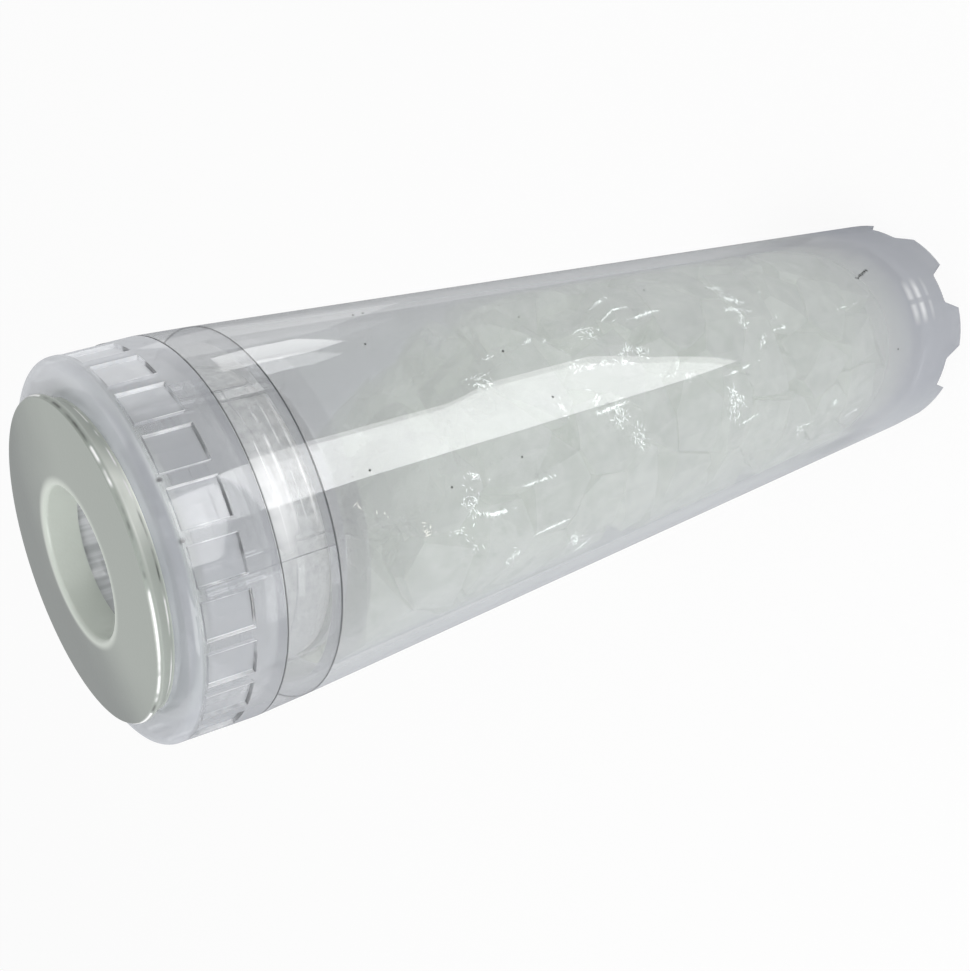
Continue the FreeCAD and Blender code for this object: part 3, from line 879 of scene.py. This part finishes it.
# Screw cap: a clear moulding with 24 rectangular grip windows sunk in its side and a well in
# its front that lets the water out. Painted highlights in white and painted shade in black lie
# on the windows' sharp edges.
WINDOW_COUNT = 24
WINDOW_PHASE = 6.0
WINDOW_WIDTH = 6.5
WINDOW_HEIGHT = 7.8
WINDOW_MIDDLE = 238.6
WINDOW_BORDER = 0.15
PANE_GREY, PANE_PAINTED_PALE = (0.60, 0.62, 0.65), (0.95, 0.97, 1.0)
EDGE_HIGHLIGHT_WHITE, EDGE_SHADE_BLACK = (0.90, 0.91, 0.93), (0.10, 0.105, 0.11)
CAP_MIDDLE_RADIUS = 34.3
CAP_SKIN = (32.3, 32.6)
CAP_RIM_RADIUS = (33.6, 33.9)
CAP_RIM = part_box("screw_cap")[0].z / MM
CAP_LOW_MILK = (0.33, 0.345, 0.375)
CAP_PAINTED_PALE_MILK = (0.64, 0.66, 0.70)
CAP_INNER_MILK = (0.64, 0.66, 0.68)
CAP_PAINTED_PALE_SIDE = (16.0, 33.0)
CAP_SKIN_SHARE, CAP_SHARE = 0.26, 0.18
PAINTED_PALE_PANES = (12.0, 28.0)
FRONT_FROM, FRONT_FULL = 242.6, 243.6
FRONT_MILK, FRONT_PAINTED_PALE_MILK = (0.47, 0.49, 0.53), (0.66, 0.68, 0.72)
FRONT_PAINTED_PALE_SIDE = (8.0, 28.0)
FRONT_SHARE = 0.55
WELL_RADIUS = (17.5, 18.5)
WELL_FLOOR_RADIUS = (13.0, 14.0)
WELL_MILK, WELL_SHADE = (0.84, 0.86, 0.88), (0.56, 0.58, 0.59)
WELL_SHARE = 0.65
WELL_STREAKS = (700.0, 700.0, 15.0)
CAP_GLOSS, FRONT_DULLING = 2.0, 1.2
CAP_GLOSS_LIMIT = 0.20
RIB_END_SHADES = [(268.0, 0.7), (284.0, 0.6)]
RIB_END_SHADE_HEIGHT, RIB_END_SHADE_REACH = 243.0, 0.8
RIB_END_SHADE_GREY = (0.12, 0.12, 0.125)


def window_marks(finish, x, y, z, skin):
    """The windows' panes, painted paler towards +X, painted highlights on their side edges and
    painted shade on their end edges, each with its colour.
    """
    across = finish.beside(x, y, WINDOW_COUNT, WINDOW_PHASE, CAP_MIDDLE_RADIUS)
    along = z - WINDOW_MIDDLE
    in_width = across.within(WINDOW_WIDTH / 2, WINDOW_BORDER)
    in_height = along.within(WINDOW_HEIGHT / 2, WINDOW_BORDER)
    uneven = finish.noise(finish.place(), 160.0)
    # Painted highlights on the side edges and painted shade on the end edges, broken up by noise.
    sides = abs(across).near(WINDOW_WIDTH / 2, 0.2) * in_height * uneven.span(0.35, 0.6, 0.05, 0.7)
    low = along.near(-WINDOW_HEIGHT / 2, 0.2) * in_width * uneven.span(0.42, 0.62, 0.85, 0.05)
    high = along.near(WINDOW_HEIGHT / 2, 0.22) * in_width * uneven.span(0.4, 0.6, 0.6, 0.0)
    # Painted light: panes towards +X are paler and more strongly marked.
    upper = x.span(*PAINTED_PALE_PANES)
    pane = in_width * in_height * skin * (upper * 0.3 + 0.08)
    return [(pane, finish.blend(upper, PANE_GREY, PANE_PAINTED_PALE)), (sides * skin, EDGE_HIGHLIGHT_WHITE),
            (low.larger(high) * skin, EDGE_SHADE_BLACK)]


def cap_finish():
    """Clear cap with its windows, a dark line at its rim and painted shade at two rib ends on its
    side. Its front is paler, its side and front are painted paler towards +X, and its well has
    upright streaks round a pale floor."""
    finish = Finish("cap_plastic")
    x, y, z = finish.millimetres()
    radius = (x * x + y * y) ** 0.5
    skin = radius.span(*CAP_SKIN)
    # Painted shade: two dark patches at rib ends on the side, broken up by noise.
    rib_end_shade = 0.0
    for angle, reach in RIB_END_SHADES:
        rib_end_shade = finish.beside(x, y, 1, angle, CAP_MIDDLE_RADIUS).near(0.0, reach).larger(rib_end_shade)
    shade_breakup = finish.noise(finish.place(), 900.0).span(0.4, 0.55)
    rib_end_shade = rib_end_shade * z.near(RIB_END_SHADE_HEIGHT, RIB_END_SHADE_REACH) * shade_breakup * skin
    rim = z.near(CAP_RIM, 0.3) * radius.span(*CAP_RIM_RADIUS) * SEAM_STRENGTH
    marks = window_marks(finish, x, y, z, skin) + [(rib_end_shade, RIB_END_SHADE_GREY), (rim, SEAM_DARK)]
    front = z.span(FRONT_FROM, FRONT_FULL)
    well = radius.span(*WELL_RADIUS, 1.0, 0.0)
    milk = (skin * CAP_SKIN_SHARE + CAP_SHARE).larger(front * FRONT_SHARE).larger(well * WELL_SHARE)
    # Painted light: the cap's side and its front are paler towards +X.
    side_milk = finish.blend(x.span(*CAP_PAINTED_PALE_SIDE), CAP_LOW_MILK, CAP_PAINTED_PALE_MILK)
    front_milk = finish.blend(x.span(*FRONT_PAINTED_PALE_SIDE), FRONT_MILK, FRONT_PAINTED_PALE_MILK)
    light = finish.blend(front, finish.blend(skin, CAP_INNER_MILK, side_milk), front_milk)
    upright = finish.add("ShaderNodeMapping", None, {"Vector": finish.place(), "Scale": WELL_STREAKS})
    streaks = finish.noise(upright, 1.0).span(0.38, 0.62)
    floor_pale = radius.span(*WELL_FLOOR_RADIUS, 1.0, 0.0)
    pale = finish.blend(streaks.larger(floor_pale), WELL_SHADE, WELL_MILK)
    return clear_wall(finish, milk, marks, colour=finish.blend(well, light, pale),
                      gloss=CAP_GLOSS - front * FRONT_DULLING, gloss_limit=CAP_GLOSS_LIMIT)


CAP_RIDGE_SEAT = 31.92
CAP_RIDGE_HEIGHT = 233.4
cap = dress("screw_cap", cap_finish())
cap.visible_shadow = False
cap_thread = thread_ridge("cap_thread", CAP_RIDGE_SEAT, CAP_RIDGE_HEIGHT, -THREAD_DEPTH, 0,
                          ridge_finish("cap_thread_plastic"))
cap_thread.visible_shadow = False
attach(cap_thread, "cap")


# Gasket and seal ring: greenish grey silicone rubber, moulded, milky at the thin edges. Its tone
# carries painted shade, its flank a painted sheen and its bore painted light, and broken white
# and black lines of painted highlight and painted shade run along the face's rim and the foot.
GASKET_FACE = 248.0
RUBBER_DARK, RUBBER_PALE = (0.165, 0.182, 0.174), (0.315, 0.345, 0.315)
FLANK_GREY, FLANK_PAINTED_SHEEN = (0.44, 0.475, 0.44), (0.86, 0.89, 0.84)
BORE_PAINTED_PALE = (0.55, 0.59, 0.54)
BORE_EDGE = (14.0, 15.5)
FLANK_RADIUS = (26.0, 27.0)
SHEEN_ANGLE, SHEEN_RADIUS, SHEEN_REACH = 286.0, 28.0, 12.0
FOOT_LINE_DROP, FOOT_LINE_RADIUS = 2.7, (26.6, 27.0)
RIM_LINE_RADIUS, RIM_LINE_REACH = 28.45, 0.22
RIM_HIGHLIGHT_WHITE, RIM_SHADE_BLACK = (1.0, 1.0, 1.0), (0.04, 0.04, 0.04)
RUBBER_ROUGHNESS = 0.30
RUBBER_GRAIN = 0.2 * MM


def silicone():
    """Cloudy rubber with painted shade across it, paler at its flank with a painted sheen there, a
    bore painted paler, and threads of painted highlight and painted shade at its rim and foot.
    """
    finish = Finish("silicone")
    place = finish.place()
    cloud = finish.noise(place, 60.0, 3.0)
    x, y, z = finish.millimetres()
    radius = (x * x + y * y) ** 0.5
    # Painted shade over a random cloud tone: darker away from the Y axis, most towards -X, and paler
    # towards -Y.
    tone_and_painted_shade = (cloud * 14.0 - abs(x) * 0.5 + x * 0.2 - y * 1.2).span(-20.0, 12.0)
    colour = finish.blend(tone_and_painted_shade, RUBBER_DARK, RUBBER_PALE)
    flank = radius.span(*FLANK_RADIUS) * z.span(GASKET_FACE - 1.2, GASKET_FACE - 0.5, 1.0, 0.0)
    # Painted highlight: a sheen on the flank at one side, broken up by the cloud.
    painted_sheen = finish.beside(x, y, 1, SHEEN_ANGLE, SHEEN_RADIUS).near(0.0, SHEEN_REACH)
    edge_tone = finish.blend(painted_sheen * cloud.span(0.2, 0.45), FLANK_GREY, FLANK_PAINTED_SHEEN)
    colour = finish.blend(flank, colour, edge_tone)
    # Painted light: the bore is paler, standing in for light through the translucent rubber.
    colour = finish.blend(radius.span(*BORE_EDGE, 1.0, 0.0), colour, BORE_PAINTED_PALE)
    # Painted highlight and painted shade: broken white and black lines at the face's rim and foot.
    line_breakup = finish.noise(place, 130.0)
    foot_line = z.near(GASKET_FACE - FOOT_LINE_DROP, 0.3) * radius.span(*FOOT_LINE_RADIUS)
    rim_line = radius.near(RIM_LINE_RADIUS, RIM_LINE_REACH)
    rim = (rim_line * z.span(GASKET_FACE - 0.7, GASKET_FACE - 0.4)).larger(foot_line)
    colour = finish.blend(rim * line_breakup.span(0.45, 0.55), colour, RIM_HIGHLIGHT_WHITE)
    colour = finish.blend(rim * line_breakup.span(0.34, 0.44, 1.0, 0.0) * 0.8, colour, RIM_SHADE_BLACK)
    grain = finish.bump(finish.noise(place, 1800.0), 0.1, RUBBER_GRAIN)
    body = finish.add("ShaderNodeBsdfPrincipled", None,
                      {"Base Color": colour, "Roughness": RUBBER_ROUGHNESS, "Normal": grain})
    return finish.done(body)


dress("top_gasket", silicone())
dress("cap_seal_ring", silicone())
